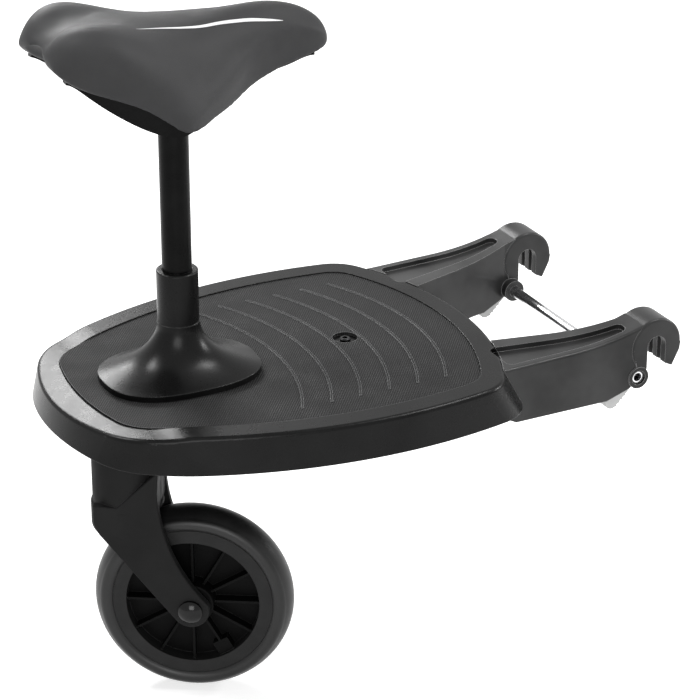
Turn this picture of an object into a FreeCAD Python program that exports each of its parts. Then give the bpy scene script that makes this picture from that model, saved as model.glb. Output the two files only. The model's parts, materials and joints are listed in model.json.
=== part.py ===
import FreeCAD, Part
import math
import os

V = FreeCAD.Vector

# Buggy board with a saddle. Millimetres. The origin is the axis of the two hooks on the centre plane,
# +X runs forward past the hooks, +Y to the left and +Z up.

# Deck
deck_top = 8.5
deck_height = 34.0
deck_rear = -504.0
deck_front = -123.0
deck_front_lean = 19.0
deck_rear_lean = 8.0
deck_tail_rise = 7.0
deck_half_width = 160.0
deck_widest = -255.0
deck_side_radius = 435.0
deck_front_radius = 283.0
deck_rear_radius = 199.0
deck_front_corner = 40.0
deck_rear_corner = 65.0
deck_edge_round = 3.5
deck_wall = 3.5
deck_plate = 3.5
deck_rib = 2.5
deck_rib_pitch = 52.0
deck_rib_short = 6.0
deck_rib_shift = 12.0
deck_cross_ribs = 3
deck_long_ribs = 2
lip_ramp_front = -426.0
lip_ramp_rear = -458.0
lip_drop = 2.2
lip_fall = 4.5

# Grip mat
mat_front = -141.0
mat_rear = -483.0
mat_half_width = 138.0
mat_front_radius = 255.0
mat_rear_radius = 255.0
mat_side_radius = 413.0
mat_front_corner = 30.0
mat_rear_corner = 40.0
mat_thickness = 3.0
mat_drop = 1.2
mat_clearance = 0.3
mat_rib_count = 6
mat_rib_front = -170.0
mat_rib_pitch = 26.7
mat_rib_radius = 231.0
mat_rib_half_length = 109.0
mat_rib_width = 2.0
mat_rib_height = 0.8
mat_hole_x = -237.0
mat_hole_radius = 11.0

# Arms and hooks
tube_radius = 9.1
hook_radius = 25.0
hook_outer = 124.5
hook_plate = 6.4
hook_slot = 5.8
hook_proud = 0.8
hook_skin = 4.5
hook_tip_x = 16.4
hook_tip_z = -21.3
hook_mouth_depth = 18.0
arm_root_inner = 66.0
arm_root_x = -131.0
arm_bend_x = -24.0
arm_bottom = -42.5
arm_wall = 3.5
arm_round = 2.5
arm_top_straight_x = -90.0
arm_top_rise = 1.3
arm_top_slope = 0.014
arm_top_bend = 2.2
arm_crest_x = -13.0
arm_level = 15.0
arm_hidden = 45.0
arm_nose_x = -9.5
arm_chin_x = -28.0
arm_chin_z = -36.0
arm_belly_front = -48.0
arm_belly_rear = 7.0
arm_heel = 41.0
pocket_depth = 4.7
pocket_outer = 117.0
pocket_root_inner = 79.0
pocket_hook_inner = 103.0
pocket_root_x = -142.0
pocket_hook_x = -25.0
pocket_corner = 6.0
tongue_rear = -212.0
tongue_inner = 76.0
tongue_outer = 114.0
tongue_bottom = -22.0
tongue_pad = 6.8
tongue_clearance = 0.2
tongue_margin = 2.0
gusset_depth = 12.0
gusset_front = 14.0
gusset_flat = 10.0
gusset_rear = 36.0
gusset_toe = 42.0
arm_screw_inset = 9.0
arm_screw_pitch = 18.0

# Cross rod and lock levers
rod_x = -17.1
rod_z = -26.5
rod_radius = 5.0
rod_wall = 1.2
rod_clearance = 0.1
boss_radius = 9.8
boss_proud = 1.2
boss_inner_length = 8.0
boss_counterbore = 6.4
boss_counterbore_depth = 3.0
rod_recess = 2.2
lever_hub_radius = 8.6
lever_side_clearance = 0.6
lever_finger_length = 25.0
lever_finger_angle = 100.0
lever_finger_half = 2.5
lever_finger_width = 4.6
lever_tail_length = 37.0
lever_tail_angle = 225.0
lever_tail_half = 6.5
lever_ridge = 0.9
lever_ridge_count = 4
lever_ridge_pitch = 4.0
lever_pin_radius = 1.5

# Seat socket and post
post_x = -392.3
post_radius = 12.5
post_wall = 2.0
post_top = 268.0
post_clearance = 0.1
socket_top = 101.4
socket_radius = 17.5
socket_flare_top = 55.8
socket_foot_long = 68.5
socket_foot_wide = 51.6
socket_foot_edge = 5.4
socket_foot_squareness = 2.5
socket_outline_points = 16
socket_rim = 0.8
socket_floor = 14.0
socket_screw_x = 44.0
socket_screw_y = 30.0
socket_screw_side = 40.0
socket_screw_reach = 6.5
socket_pad = 8.0

# Saddle
saddle_behind_post = 113.7
saddle_above_post = 59.0
saddle_gap = 0.3
saddle_base_inset = 6.0
saddle_base_overlap = 4.0
saddle_notch = 15.0
saddle_notch_radius = 26.0
saddle_notch_below = 39.0
saddle_base_notch = 12.0
saddle_boss_radius = 17.0
saddle_boss_bottom = 224.0
saddle_boss_crown = 14.0
saddle_bolt_z = 240.0
saddle_bolt_radius = 3.0
saddle_bolt_head = 5.0
saddle_bolt_head_height = 3.5
saddle_bolt_end = 7.0
saddle_nut_width = 10.0
saddle_nut_height = 5.0

# Caster
swivel_x = -443.6
caster_turn = -31.5
caster_trail = 55.2
axle_z = -189.0
housing_pad_clearance = 0.2
housing_pad_radius = 46.0
housing_radius = 31.0
housing_bottom = -44.0
housing_flange = 5.0
housing_flange_radius = 43.0
housing_screw_circle = 37.0
stem_radius = 6.0
stem_thread_radius = 5.0
stem_bottom = -84.0
bush_radius = 9.0
bush_length = 8.0
running_clearance = 0.05
nut_pocket_depth = 12.0
nut_pocket_radius = 14.0
stem_gap = 0.3
stem_end = 1.5
stem_washer_radius = 11.0
stem_washer_thickness = 1.6
stem_nut_width = 17.0
stem_nut_height = 7.0
thrust_washer_radius = 20.0
thrust_washer_thickness = 1.7
thrust_gap = 0.3
neck_radius = 29.5
neck_bottom = -97.0
crown_radius = 31.0
crown_bottom = -127.0
crown_lower_round = 9.0
crown_upper_round = 2.5
blade_outer = 30.5
blade_inner = 23.0
blade_end_radius = 16.0
blade_front = -25.0
blade_shoulder_radius = 26.0
blade_shoulder_z = -104.0
blade_round = 1.5
blade_slant_rear = -5.0
blade_slant_front = 31.0
blade_slant_rise = 35.0
blade_top_rise = 4.0
blade_waist_x = 29.5
blade_waist_z = -80.0
blade_knee_x = 43.5
blade_knee_z = -143.0
tyre_radius = 85.4
tyre_half_width = 18.0
tyre_clearance = 6.0
tyre_shoulder = 5.5
tyre_shoulder_inset = 3.6
tyre_fit = 0.1

# Wheel
rim_radius = 68.5
rim_seat_radius = 66.0
rim_inner_radius = 57.0
rim_half_width = 15.5
rim_flange = 2.5
rim_web = 2.0
rim_rib_count = 12
rim_rib = 1.8
rim_rib_half_width = 12.0
rim_tab_angle = 60.0
rim_tab_depth = 12.5
rim_tab_half_width = 6.9
hub_round = 1.5
hub_radius = 18.5
hub_half_width = 19.7
bearing_radius = 9.5
bearing_width = 6.0
axle_radius = 3.0
fork_boss_radius = 6.0
fork_boss_gap = 0.2
cap_radius = 10.2
cap_height = 7.0
cap_side = 3.0
cap_room_radius = 6.3
cap_room = 4.4
axle_head_radius = 5.0
axle_head_height = 4.0
axle_nut_width = 10.0

# Fasteners
screw_radius = 2.5
screw_head_radius = 4.75
screw_head_height = 2.8
screw_pad_radius = 6.75
fastener_clearance = 0.1

# Reach of cuts that pass right through, and overlap of joined shapes
through = 200.0
overlap = 1.0

deck_bottom = deck_top - deck_height
mat_top = deck_top - mat_drop
mat_floor = mat_top - mat_thickness
plate_bottom = mat_floor - deck_plate
hook_inner = hook_outer - 3 * hook_plate - 2 * hook_slot
slot_inner = hook_inner + hook_plate
slot_outer = hook_outer - hook_plate
tongue_top = plate_bottom - tongue_pad
housing_pad = socket_pad + screw_head_height + housing_pad_clearance
housing_top = plate_bottom - housing_pad
bush_seat = housing_top - nut_pocket_depth
neck_top = housing_bottom - thrust_gap - thrust_washer_thickness
saddle_rear = post_x - saddle_behind_post
saddle_top = post_top + saddle_above_post


# Shared shapes

def box(x0, x1, y0, y1, z0, z1):
    return Part.makeBox(x1 - x0, y1 - y0, z1 - z0, V(x0, y0, z0))


def cylinder(radius, start, end):
    along = end.sub(start)
    return Part.makeCylinder(radius, along.Length, start, along)


def tube(outer, inner, start, end):
    return cylinder(outer, start, end).cut(cylinder(inner, start, end))


def fuse(first, *others):
    return first.multiFuse(list(others)).removeSplitter()


def mirrored(shape):
    return shape.mirror(V(0, 0, 0), V(0, 1, 0))


def arc(start, middle, end):
    return Part.Arc(start, middle, end).toShape()


def line(start, end):
    return Part.makeLine(start, end)


def tangent_arc(start, direction, end):
    """An arc that leaves start along a direction and reaches end."""
    chord = end - start
    turn = direction.getAngle(chord)
    bulge = unit(unit(direction) - unit(chord) * math.cos(turn))
    return arc(start, start + chord * 0.5 + bulge * (0.5 * chord.Length * math.tan(turn / 2)), end)


def face(points):
    return Part.Face(Part.makePolygon(points + [points[0]]))


def side_prism(points, y0, y1):
    """A prism along Y of an outline given as (x, z)."""
    return face([V(x, y0, z) for x, z in points]).extrude(V(0, y1 - y0, 0))


def plan_prism(points, z0, z1):
    """A prism along Z of an outline given as (x, y)."""
    return face([V(x, y, z0) for x, y in points]).extrude(V(0, 0, z1 - z0))


def turned(profile, centre, axis, angle=360):
    """A solid of revolution of a closed outline, given as points, about an axis through centre."""
    return face(profile).revolve(centre, axis, angle)


def hexagon(across_flats, start, end):
    along = end.sub(start)
    turn = FreeCAD.Rotation(V(0, 0, 1), along)
    corner = across_flats / math.sqrt(3)
    angles = [math.radians(60 * k) for k in range(6)]
    points = [start + turn.multVec(V(corner * math.cos(a), corner * math.sin(a), 0)) for a in angles]
    return face(points).extrude(along)


def screw(seat, direction, length, head=screw_head_radius, height=screw_head_height, shank=screw_radius):
    """A pan-head screw whose head rests at seat and whose shank runs along direction."""
    top = seat - direction * height
    solid_head = cylinder(head, top, seat)
    rim = [e for e in solid_head.Edges if e.CenterOfMass.distanceToPoint(top) < 0.01 * height]
    solid_head = solid_head.makeChamfer(0.3 * height, rim)
    solid_head = solid_head.cut(hexagon(0.9 * head, top, top + direction * (0.6 * height)))
    return fuse(solid_head, cylinder(shank, seat, seat + direction * length))


def screw_hole(at, low, high):
    """Clearance for a screw's shank at a point of the plan, between two heights."""
    return cylinder(screw_radius + fastener_clearance, V(at.x, at.y, low), V(at.x, at.y, high))


def save(node, *solids):
    shape = solids[0] if len(solids) == 1 else Part.makeCompound(list(solids))
    shape.exportStep("parts/" + node + ".step")


def unit(vector):
    return vector * (1 / vector.Length)


def touching(first, first_distance, second, second_distance, side):
    """The point at the two distances from the two centres, on the given side of the line between them."""
    gap = second.sub(first)
    along = (first_distance ** 2 - second_distance ** 2 + gap.Length ** 2) / (2 * gap.Length)
    across = math.sqrt(first_distance ** 2 - along ** 2)
    direction = unit(gap)
    normal = V(-direction.y, direction.x, 0)
    return first + direction * along + normal * (side * across)


def corner_arc(centre, radius, start, end):
    middle = centre + unit(start + end - centre * 2) * radius
    return arc(start, middle, end)


def rounded_outline(z, front, rear, half_width, widest, radii):
    """A closed outline of a front arc, two side arcs and a rear arc, joined by tangent corner arcs."""
    front_radius, side_radius, rear_radius, front_corner, rear_corner = radii
    front_centre = V(front - front_radius, 0, z)
    side_centre = V(widest, half_width - side_radius, z)
    rear_centre = V(rear + rear_radius, 0, z)
    front_turn = touching(front_centre, front_radius - front_corner,
                          side_centre, side_radius - front_corner, 1)
    rear_turn = touching(rear_centre, rear_radius - rear_corner,
                         side_centre, side_radius - rear_corner, -1)
    a = front_centre + unit(front_turn - front_centre) * front_radius
    b = side_centre + unit(front_turn - side_centre) * side_radius
    c = side_centre + unit(rear_turn - side_centre) * side_radius
    d = rear_centre + unit(rear_turn - rear_centre) * rear_radius
    left = [corner_arc(front_turn, front_corner, a, b),
            corner_arc(side_centre, side_radius, b, c),
            corner_arc(rear_turn, rear_corner, c, d)]
    a2, d2 = V(a.x, -a.y, z), V(d.x, -d.y, z)
    front_edge = arc(a2, V(front, 0, z), a)
    rear_edge = arc(d, V(rear, 0, z), d2)
    right = [mirrored(edge) for edge in reversed(left)]
    return Part.Wire([front_edge] + left + [rear_edge] + right)


def deck_outline(z, inset=0.0):
    depth = (deck_top - z) / deck_height
    radii = [r - inset for r in (deck_front_radius, deck_side_radius, deck_rear_radius,
                                 deck_front_corner, deck_rear_corner)]
    front = deck_front + deck_front_lean * depth - inset
    rear = deck_rear - deck_rear_lean * depth + inset
    return rounded_outline(z, front, rear, deck_half_width - inset, deck_widest, radii)


def mat_outline(z, inset=0.0):
    radii = [r - inset for r in (mat_front_radius, mat_side_radius, mat_rear_radius,
                                 mat_front_corner, mat_rear_corner)]
    return rounded_outline(z, mat_front - inset, mat_rear + inset, mat_half_width - inset,
                           deck_widest, radii)


# Deck

def deck_block(top):
    return Part.makeLoft([deck_outline(top), deck_outline(deck_bottom)], True, True)


def above_deck(reach):
    """The room above the deck: level, then down in an S to a lip that falls gently to the rear."""
    low = deck_top - lip_drop
    front = V(deck_front + reach, -reach, deck_top)
    rear = V(deck_rear - deck_rear_lean, -reach, low - lip_fall)
    start, end = V(lip_ramp_front, -reach, deck_top), V(lip_ramp_rear, -reach, low)
    middle = (start + end) * 0.5
    backwards = V(-1, 0, 0)
    up = V(0, 0, reach)
    edges = [line(front, start), tangent_arc(start, backwards, middle), tangent_arc(end, V(1, 0, 0), middle),
             tangent_arc(end, backwards, rear), line(rear, rear + up), line(rear + up, front + up),
             line(front + up, front)]
    return Part.Face(Part.Wire(edges)).extrude(V(0, 2 * reach, 0))


def below_tail(reach):
    """The room under the rear end of the deck, where the lower edge rises in an arc."""
    start, rear = V(lip_ramp_front, -reach, deck_bottom), V(deck_rear - deck_rear_lean, -reach, deck_bottom)
    end = rear + V(0, 0, deck_tail_rise)
    edges = [tangent_arc(start, V(-1, 0, 0), end), line(end, rear), line(rear, start)]
    return Part.Face(Part.Wire(edges)).extrude(V(0, 2 * reach, 0))


def deck_outer():
    """The outer form of the deck with its rounded top edge."""
    reach = 2 * deck_half_width
    body = deck_block(deck_top + deck_height).cut(above_deck(reach))
    rim = [e for e in body.Edges if e.BoundBox.ZMin > deck_bottom + 1 and e.BoundBox.XLength > 0.01]
    return body.makeFillet(deck_edge_round, rim).cut(below_tail(reach))


def deck_ribs():
    low = deck_bottom + deck_rib_short
    ribs = []
    high = plate_bottom + overlap
    for k in range(-deck_cross_ribs, deck_cross_ribs + 1):
        x = deck_widest - deck_rib_shift + k * deck_rib_pitch
        ribs.append(box(x, x + deck_rib, -deck_half_width, deck_half_width, low, high))
    for k in range(-deck_long_ribs, deck_long_ribs + 1):
        y = k * deck_rib_pitch - deck_rib / 2
        ribs.append(box(deck_rear, deck_front, y, y + deck_rib, low, high))
    return Part.makeCompound(ribs)


def tongue_space(side_gap):
    """The room the left arm's tongue takes under the deck."""
    return box(tongue_rear - side_gap, deck_front + through, tongue_inner - side_gap,
               tongue_outer + side_gap, deck_bottom - through, tongue_top)


def pocket():
    """The long hollow in the top of the left arm, with rounded corners."""
    plan = plan_prism([(pocket_root_x, pocket_root_inner), (pocket_hook_x, pocket_hook_inner),
                       (pocket_hook_x, pocket_outer), (pocket_root_x, pocket_outer)],
                      deck_bottom, deck_top + through)
    corners = [e for e in plan.Edges if abs(e.Vertexes[0].Z - e.Vertexes[-1].Z) > 1]
    plan = plan.makeFillet(pocket_corner, corners)
    above = [(x, z - pocket_depth) for x, z in arm_top_points()]
    above = above + [(hook_radius, deck_top + through), (above[0][0], deck_top + through)]
    return plan.common(side_prism(above, 0, hook_outer))


def deck_pads():
    """Solid pads under the deck's plate for the caster, the tongues and the screws."""
    high = plate_bottom + overlap
    tongue = box(tongue_rear - tongue_margin, deck_front + deck_front_lean, tongue_inner - tongue_margin,
                 tongue_outer + tongue_margin, tongue_top, high)
    pads = [cylinder(housing_pad_radius, upright(housing_top), upright(high)), tongue, mirrored(tongue)]
    for at in socket_screw_points() + [V(mat_hole_x, 0, 0)]:
        pads.append(cylinder(screw_pad_radius, V(at.x, at.y, plate_bottom - socket_pad), V(at.x, at.y, high)))
    return Part.makeCompound(pads)


def deck_screw_holes():
    holes = [screw_hole(at, deck_bottom, deck_top) for at in socket_screw_points()]
    holes = holes + [screw_hole(at, deck_bottom, mat_floor - 0.5) for at in housing_screw_points()]
    for at in arm_screw_points():
        hole = screw_hole(at, deck_bottom, plate_bottom)
        holes = holes + [hole, mirrored(hole)]
    holes.append(screw_hole(V(mat_hole_x, 0, 0), plate_bottom - socket_pad + 1, deck_top))
    return Part.makeCompound(holes)


def build_deck():
    body = deck_outer()
    recess = Part.Face(mat_outline(mat_floor)).extrude(V(0, 0, through))
    inner = [deck_outline(plate_bottom, deck_wall), deck_outline(deck_bottom - 2, deck_wall)]
    housing_room = cylinder(housing_pad_radius, upright(deck_bottom - overlap), upright(housing_top))
    hollow = Part.makeLoft(inner, True, True).cut(deck_ribs().cut(housing_room)).cut(deck_pads())
    tongue = tongue_space(tongue_clearance)
    body = body.cut(recess).cut(hollow).cut(tongue).cut(mirrored(tongue))
    body = body.cut(pocket()).cut(mirrored(pocket()))
    for at in socket_screw_points():
        body = body.cut(cylinder(screw_pad_radius, V(at.x, at.y, deck_bottom - overlap),
                                 V(at.x, at.y, plate_bottom - socket_pad)))
    return body.cut(deck_screw_holes())


# Grip mat and its screw

def build_mat():
    body = Part.Face(mat_outline(mat_floor, mat_clearance)).extrude(V(0, 0, mat_thickness))
    ribs = []
    for k in range(mat_rib_count):
        centre = V(mat_rib_front - k * mat_rib_pitch - mat_rib_radius, 0, mat_top - overlap)
        height = V(0, 0, mat_rib_height + overlap)
        ring = tube(mat_rib_radius, mat_rib_radius - mat_rib_width, centre, centre + height)
        keep = box(centre.x, centre.x + 2 * mat_rib_radius, -mat_rib_half_length, mat_rib_half_length,
                   mat_floor, mat_top + through)
        ribs.append(ring.common(keep))
    body = fuse(body, *ribs)
    low, high = mat_floor - overlap, mat_top + through
    body = body.cut(cylinder(mat_hole_radius, V(mat_hole_x, 0, low), V(mat_hole_x, 0, high)))
    for at in socket_screw_points():
        body = body.cut(screw_hole(at, low, high))
    return body


def build_mat_screw():
    return screw(V(mat_hole_x, 0, mat_floor), V(0, 0, -1), deck_plate + socket_pad - 3)


# Arms

def arm_top_points():
    """The top edge of an arm, seen from the side, from the deck to the hook."""
    straight_z = deck_top + arm_top_rise
    run = arm_crest_x - arm_top_straight_x
    climb = math.sqrt(hook_radius ** 2 - arm_crest_x ** 2) - straight_z - arm_top_slope * run
    points = [(arm_root_x - arm_hidden, deck_top), (arm_root_x - arm_level, deck_top),
              (arm_top_straight_x, straight_z)]
    for k in range(1, 9):
        part = k / 8
        points.append((arm_top_straight_x + run * part,
                       straight_z + arm_top_slope * run * part + climb * part ** arm_top_bend))
    return points


def arm_plan(inset, z0, z1):
    rear, front = arm_root_x - through, hook_radius + through
    outer = hook_outer - inset
    return plan_prism([(rear, arm_root_inner + inset), (arm_root_x, arm_root_inner + inset),
                       (arm_bend_x, hook_inner + inset), (front, hook_inner + inset),
                       (front, outer), (rear, outer)], z0, z1)


def arm_screw_points():
    middle = (tongue_inner + tongue_outer) / 2
    return [V(tongue_rear + arm_screw_inset + arm_screw_pitch * k, middle, 0) for k in range(2)]


def build_arm_beam():
    top = arm_top_points()
    under = [(arm_nose_x, rod_z), (arm_chin_x, arm_chin_z), (arm_belly_front, arm_bottom),
             (arm_root_x - arm_belly_rear, arm_bottom), (arm_root_x - arm_heel, deck_bottom),
             (arm_root_x - arm_hidden, deck_bottom)]
    beam = side_prism(top + under, 0, hook_outer).common(arm_plan(0, -through, through))
    ridge = [e for e in beam.Edges if e.BoundBox.YLength < 0.01 and e.BoundBox.ZMin > deck_top - 0.01
             and abs(e.CenterOfMass.y - hook_outer) < 0.01]
    return beam.makeFillet(arm_round, ridge)


def build_hook():
    low, high = hook_inner - hook_proud, hook_outer + hook_proud
    disc = cylinder(hook_radius, V(0, low, 0), V(0, high, 0))
    disc = disc.makeFillet(arm_round, [e for e in disc.Edges if e.BoundBox.YLength < 0.01])
    disc = disc.common(box(-hook_radius, hook_radius, low, high, -14, hook_radius))
    prong = side_prism([(2, 0), (hook_radius - 0.5, 0), (hook_radius - 1.5, -7), (hook_tip_x, hook_tip_z),
                        (tube_radius + 0.4, -hook_mouth_depth), (2, -10)], low, high)
    cheek = side_prism([(-hook_radius + 2, 0), (0, 0), (-8, rod_z + 8), (rod_x, rod_z)], low, high)
    return fuse(disc, prong, cheek)


def build_tongue():
    """The tongue under the deck with the gusset that joins it to the arm."""
    front, low = arm_root_x + gusset_front, deck_bottom - gusset_depth
    return side_prism([(tongue_rear, tongue_top), (front, tongue_top), (front, low),
                       (arm_root_x - gusset_flat, low), (arm_root_x - gusset_rear, deck_bottom - 1),
                       (arm_root_x - gusset_toe, tongue_bottom), (tongue_rear, tongue_bottom)],
                      tongue_inner, tongue_outer)


def build_arm():
    """The left arm, with its tongue under the deck."""
    low, high = hook_inner - hook_proud, hook_outer + hook_proud
    beam = build_arm_beam().cut(deck_block(deck_top))
    beam = beam.cut(Part.Face(deck_outline(deck_top)).extrude(V(0, 0, hook_radius)))
    boss = cylinder(boss_radius, V(rod_x, hook_inner - boss_inner_length, rod_z),
                    V(rod_x, hook_outer + boss_proud, rod_z))
    body = fuse(beam, build_hook(), boss)
    pocket_floor = deck_top - pocket_depth - arm_wall
    cavity = arm_plan(arm_wall, arm_bottom - 5, pocket_floor).common(
        box(arm_root_x + 18, rod_x - lever_hub_radius - 3, 0, hook_outer, -through, through))
    hub_room = cylinder(lever_hub_radius + 1, V(rod_x, slot_inner, rod_z), V(rod_x, slot_outer, rod_z))
    tail_room = box(rod_x - lever_hub_radius - 4, rod_x, slot_inner, slot_outer, arm_bottom - 5,
                    rod_z + lever_hub_radius + 6)
    body = body.cut(fuse(cavity, hub_room, tail_room)).cut(pocket())
    for k in range(2):
        y0 = slot_inner + k * (hook_slot + hook_plate)
        y1 = y0 + hook_slot
        claw_room = cylinder(hook_radius - hook_skin, V(0, y0, 0), V(0, y1, 0))
        lower_room = box(rod_x - 12, hook_radius + 5, y0, y1, rod_z - 8, -6)
        finger_room = box(rod_x - 12, 0, y0, y1, rod_z, 3)
        body = body.cut(fuse(claw_room, lower_room, finger_room))
    mouth = fuse(cylinder(tube_radius, V(0, 0, 0), V(0, 2 * hook_outer, 0)),
                 box(-tube_radius, tube_radius, 0, 2 * hook_outer, -hook_mouth_depth - 20, 0))
    keep_boss = cylinder(boss_radius, V(rod_x, 0, rod_z), V(rod_x, 2 * hook_outer, rod_z))
    body = body.cut(mouth.cut(keep_boss))
    bore = cylinder(rod_radius + rod_clearance, V(rod_x, 0, rod_z), V(rod_x, 2 * hook_outer, rod_z))
    counterbore_floor = hook_outer + boss_proud - boss_counterbore_depth
    counterbore = cylinder(boss_counterbore, V(rod_x, counterbore_floor, rod_z),
                           V(rod_x, 2 * hook_outer, rod_z))
    body = fuse(body.cut(bore).cut(counterbore), build_tongue())
    for at in arm_screw_points():
        body = body.cut(screw_hole(at, tongue_bottom - overlap, tongue_top + overlap))
    return body


def build_arm_screws():
    screws = []
    length = plate_bottom - tongue_bottom - 1
    for at in arm_screw_points():
        for y in (at.y, -at.y):
            screws.append(screw(V(at.x, y, tongue_bottom), V(0, 0, 1), length))
    return screws


# Cross rod and lock levers

def build_rod():
    end = hook_outer + boss_proud - rod_recess
    body = tube(rod_radius, rod_radius - rod_wall, V(rod_x, -end, rod_z), V(rod_x, end, rod_z))
    for pin in lever_pin_lines():
        body = body.cut(cylinder(lever_pin_radius + fastener_clearance, *pin))
    return body


def lever_middle():
    return (slot_inner + slot_outer) / 2


def lever_pin_lines():
    lines = []
    for y in (lever_middle(), -lever_middle()):
        reach = V(lever_hub_radius - 0.5, 0, 0)
        centre = V(rod_x, y, rod_z)
        lines.append((centre - reach, centre + reach))
    return lines


def bar(length, angle, half, y0, y1):
    """A flat bar with a rounded end, running from the rod's axis at an angle above +X."""
    a = math.radians(angle)
    along, across = V(math.cos(a), 0, math.sin(a)), V(-math.sin(a), 0, math.cos(a))
    pivot = V(rod_x, y0, rod_z)
    end = pivot + along * (length - half)
    points = [pivot + across * half, end + across * half, end + along * half,
              end - across * half, pivot - across * half]
    edges = [line(points[0], points[1]), arc(points[1], points[2], points[3]), line(points[3], points[4]),
             line(points[4], points[0])]
    return Part.Face(Part.Wire(edges)).extrude(V(0, y1 - y0, 0))


def build_lever():
    """The left lever: a hub on the rod, two catch fingers in the hook's slots and a tail to press."""
    y0, y1 = slot_inner + lever_side_clearance, slot_outer - lever_side_clearance
    hub = cylinder(lever_hub_radius, V(rod_x, y0, rod_z), V(rod_x, y1, rod_z))
    tail = bar(lever_tail_length, lever_tail_angle, lever_tail_half, y0, y1)
    fingers = []
    for k in range(2):
        middle = slot_inner + hook_slot / 2 + k * (hook_slot + hook_plate)
        fingers.append(bar(lever_finger_length, lever_finger_angle, lever_finger_half,
                           middle - lever_finger_width / 2, middle + lever_finger_width / 2))
    ridges = []
    a = math.radians(lever_tail_angle)
    along, across = V(math.cos(a), 0, math.sin(a)), V(-math.sin(a), 0, math.cos(a))
    for k in range(lever_ridge_count):
        reach = lever_tail_length - lever_tail_half - lever_ridge_pitch * k
        at = V(rod_x, 0, rod_z) + along * reach + across * lever_tail_half
        ridges.append(cylinder(lever_ridge, V(at.x, y0, at.z), V(at.x, y1, at.z)))
    body = fuse(hub, tail, *(fingers + ridges))
    body = body.cut(cylinder(rod_radius + fastener_clearance, V(rod_x, 0, rod_z),
                             V(rod_x, 2 * hook_outer, rod_z)))
    return body.cut(cylinder(lever_pin_radius + fastener_clearance, *lever_pin_lines()[0]))


def build_lever_pins():
    return [cylinder(lever_pin_radius, *pin) for pin in lever_pin_lines()]


# Seat socket and post

def socket_screw_points():
    front = [V(post_x + socket_screw_x, side * socket_screw_y, 0) for side in (1, -1)]
    beside = [V(post_x, side * socket_screw_side, 0) for side in (1, -1)]
    return front + beside


def socket_outline(spread, z):
    """A smooth closed outline about the post, from the round collar at 0 to the squarish oval foot at 1."""
    long = socket_radius + (socket_foot_long - socket_radius) * spread
    wide = socket_radius + (socket_foot_wide - socket_radius) * spread
    power = 2 / (2 + (socket_foot_squareness - 2) * spread)
    points = []
    for k in range(socket_outline_points):
        a = 2 * math.pi * k / socket_outline_points
        x = math.copysign(long * abs(math.cos(a)) ** power, math.cos(a))
        y = math.copysign(wide * abs(math.sin(a)) ** power, math.sin(a))
        points.append(V(post_x + x, y, z))
    curve = Part.BSplineCurve()
    curve.interpolate(points, True)
    return Part.Wire(curve.toShape())


def build_socket():
    """A trumpet from the round collar down to the foot, bored for the post."""
    foot = mat_top + socket_foot_edge
    rise = socket_flare_top - foot
    profile = ((0.0, 1.0), (0.05, 0.86), (0.14, 0.66), (0.27, 0.43), (0.45, 0.23), (0.7, 0.07), (1.0, 0.01))
    outlines = [socket_outline(spread, foot + rise * part) for part, spread in profile]
    flare = Part.makeLoft(outlines, True, False)
    edge = Part.Face(socket_outline(1.0, mat_top)).extrude(V(0, 0, socket_foot_edge))
    collar = cylinder(socket_radius, V(post_x, 0, foot), V(post_x, 0, socket_top))
    rim = [e for e in collar.Edges if e.BoundBox.ZMin > socket_top - 0.01]
    body = fuse(edge, flare, collar.makeChamfer(socket_rim, rim))
    body = body.cut(cylinder(post_radius + post_clearance, V(post_x, 0, socket_floor),
                             V(post_x, 0, socket_top + overlap)))
    for at in socket_screw_points():
        body = body.cut(screw_hole(at, mat_top - overlap, mat_top + socket_screw_reach + 0.5))
    return body


def build_socket_screws():
    seat = plate_bottom - socket_pad
    length = mat_top + socket_screw_reach - seat
    return [screw(V(at.x, at.y, seat), V(0, 0, 1), length) for at in socket_screw_points()]


def build_post():
    body = tube(post_radius, post_radius - post_wall, V(post_x, 0, socket_floor), V(post_x, 0, post_top))
    return body.cut(saddle_bolt_hole())


# Saddle

def saddle_stations():
    """From the rear to the nose: distance from the rear, half width, drop of the lower edge below the top,
    height of the side, offset and drop of the two shoulders, drop of the middle, rise of the underside
    and depth of the base."""
    return [(0, 36, 27, 3, 15, 19, 21, 1, 2), (8, 46, 35, 11, 19, 7.5, 11, 3, 3),
            (21, 55, 42, 14, 20, 0.5, 4.5, 6, 5), (44, 68, 50, 14, 22, 0.5, 4, 15, 16),
            (66, 77, 61, 14, 22, 4.5, 5.5, 26, 19), (93, 80.5, 79, 14, 22, 10, 8.5, 38, 9),
            (116, 68, 78.5, 18, 20, 12.5, 10, 36, 5), (141, 51, 75, 26, 18, 13.5, 10.5, 28, 5),
            (166, 34, 69, 34, 14, 13.5, 10, 18, 5), (191, 24, 62, 34, 12, 13.5, 9.5, 8, 4),
            (216, 19, 56.5, 29, 10, 17.5, 13.5, 3, 4), (236, 15.5, 53, 19, 8, 26, 23, 1, 4),
            (248, 8, 50, 8, 4, 38.5, 37, 0.5, 3)]


def saddle_cover_section(along, half, edge, side, shoulder, shoulder_drop, middle, rise):
    """A closed section: a middle arc, tangent arcs over both crests, the sides and an arc underneath."""
    def at(y, drop):
        return V(saddle_rear + along, y, saddle_top - drop)

    slope = 2 * math.atan2(shoulder_drop - middle, shoulder)
    over_left = V(0, math.cos(slope), -math.sin(slope))
    over_right = V(0, -math.cos(slope), -math.sin(slope))
    low = edge - side
    return Part.Wire([tangent_arc(at(-shoulder, shoulder_drop), over_right, at(-half, low)),
                      arc(at(-shoulder, shoulder_drop), at(0, middle), at(shoulder, shoulder_drop)),
                      tangent_arc(at(shoulder, shoulder_drop), over_left, at(half, low)),
                      line(at(half, low), at(half, edge)),
                      arc(at(half, edge), at(0, edge - rise), at(-half, edge)),
                      line(at(-half, edge), at(-half, low))])


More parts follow.
